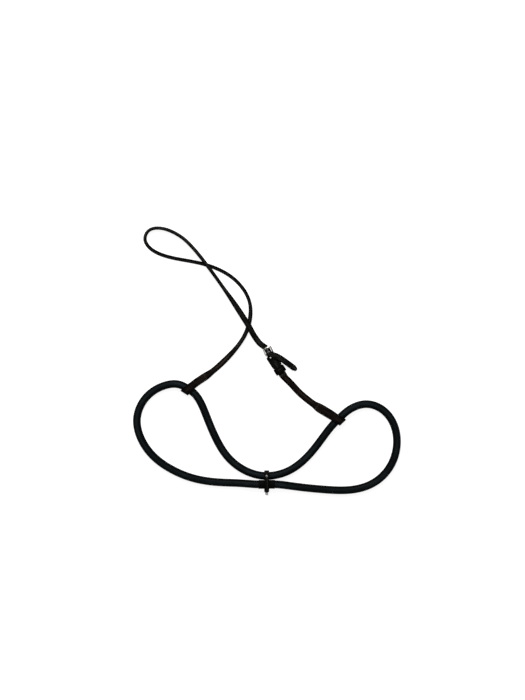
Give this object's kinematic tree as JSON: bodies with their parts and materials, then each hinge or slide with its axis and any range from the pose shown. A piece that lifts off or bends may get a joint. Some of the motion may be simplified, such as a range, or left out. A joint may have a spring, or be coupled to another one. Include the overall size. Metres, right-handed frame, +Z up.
{
  "type": "figure eight noseband",
  "caption": "Figure eight noseband: a loop of black rubber tube tied at its middle into two lobes, with a narrow leather headstrap and a roller buckle.",
  "frame": {"origin": "on the ground under the middle of the noseband's outline, as it lies flat", "axes": "+X to the right and +Y towards the poll, seen from above; +Z up"},
  "size_m": [0.4278, 0.4298, 0.021],
  "materials": {
    "rubber": "satin black rubber",
    "leather": "waxed black and dark brown bridle leather",
    "nickel": "polished nickel plate",
    "steel": "dull crimped steel",
    "plug": "moulded black"
  },
  "bodies": {
    "noseband": {"rubber_tube": "rubber", "joint_sleeve": "rubber", "tube_connector": "plug", "centre_tie": "leather", "rivet_post": "nickel", "rivet_cap": "nickel", "tie_tip": "steel", "long_strap": "leather", "short_strap": "leather"},
    "frame": {"buckle_frame": "nickel"},
    "roller": {"buckle_roller": "nickel"},
    "prong": {"buckle_prong": "nickel"},
    "keeper_loop": {"keeper": "leather"}
  },
  "joints": [
    {"name": "frame_swing", "type": "hinge", "parent": "noseband", "child": "frame", "pos_m": [0.00436, 0.01055, 0.00345], "axis": [0.9063, 0.4226, 0], "range_deg": [0, 3]},
    {"name": "roller_spin", "type": "hinge", "parent": "frame", "child": "roller", "pos_m": [-0.00037, 0.0207, 0.00605], "axis": [0.9063, 0.4226, 0], "continuous": true},
    {"name": "prong_lift", "type": "hinge", "parent": "frame", "child": "prong", "pos_m": [0.00436, 0.01055, 0.00345], "axis": [0.9063, 0.4226, 0], "range_deg": [0, 5]},
    {"name": "keeper_slide", "type": "slide", "parent": "noseband", "child": "keeper_loop", "axis": [0.5373, -0.8434, 0], "range_m": [-0.001, 0.008]}
  ]
}
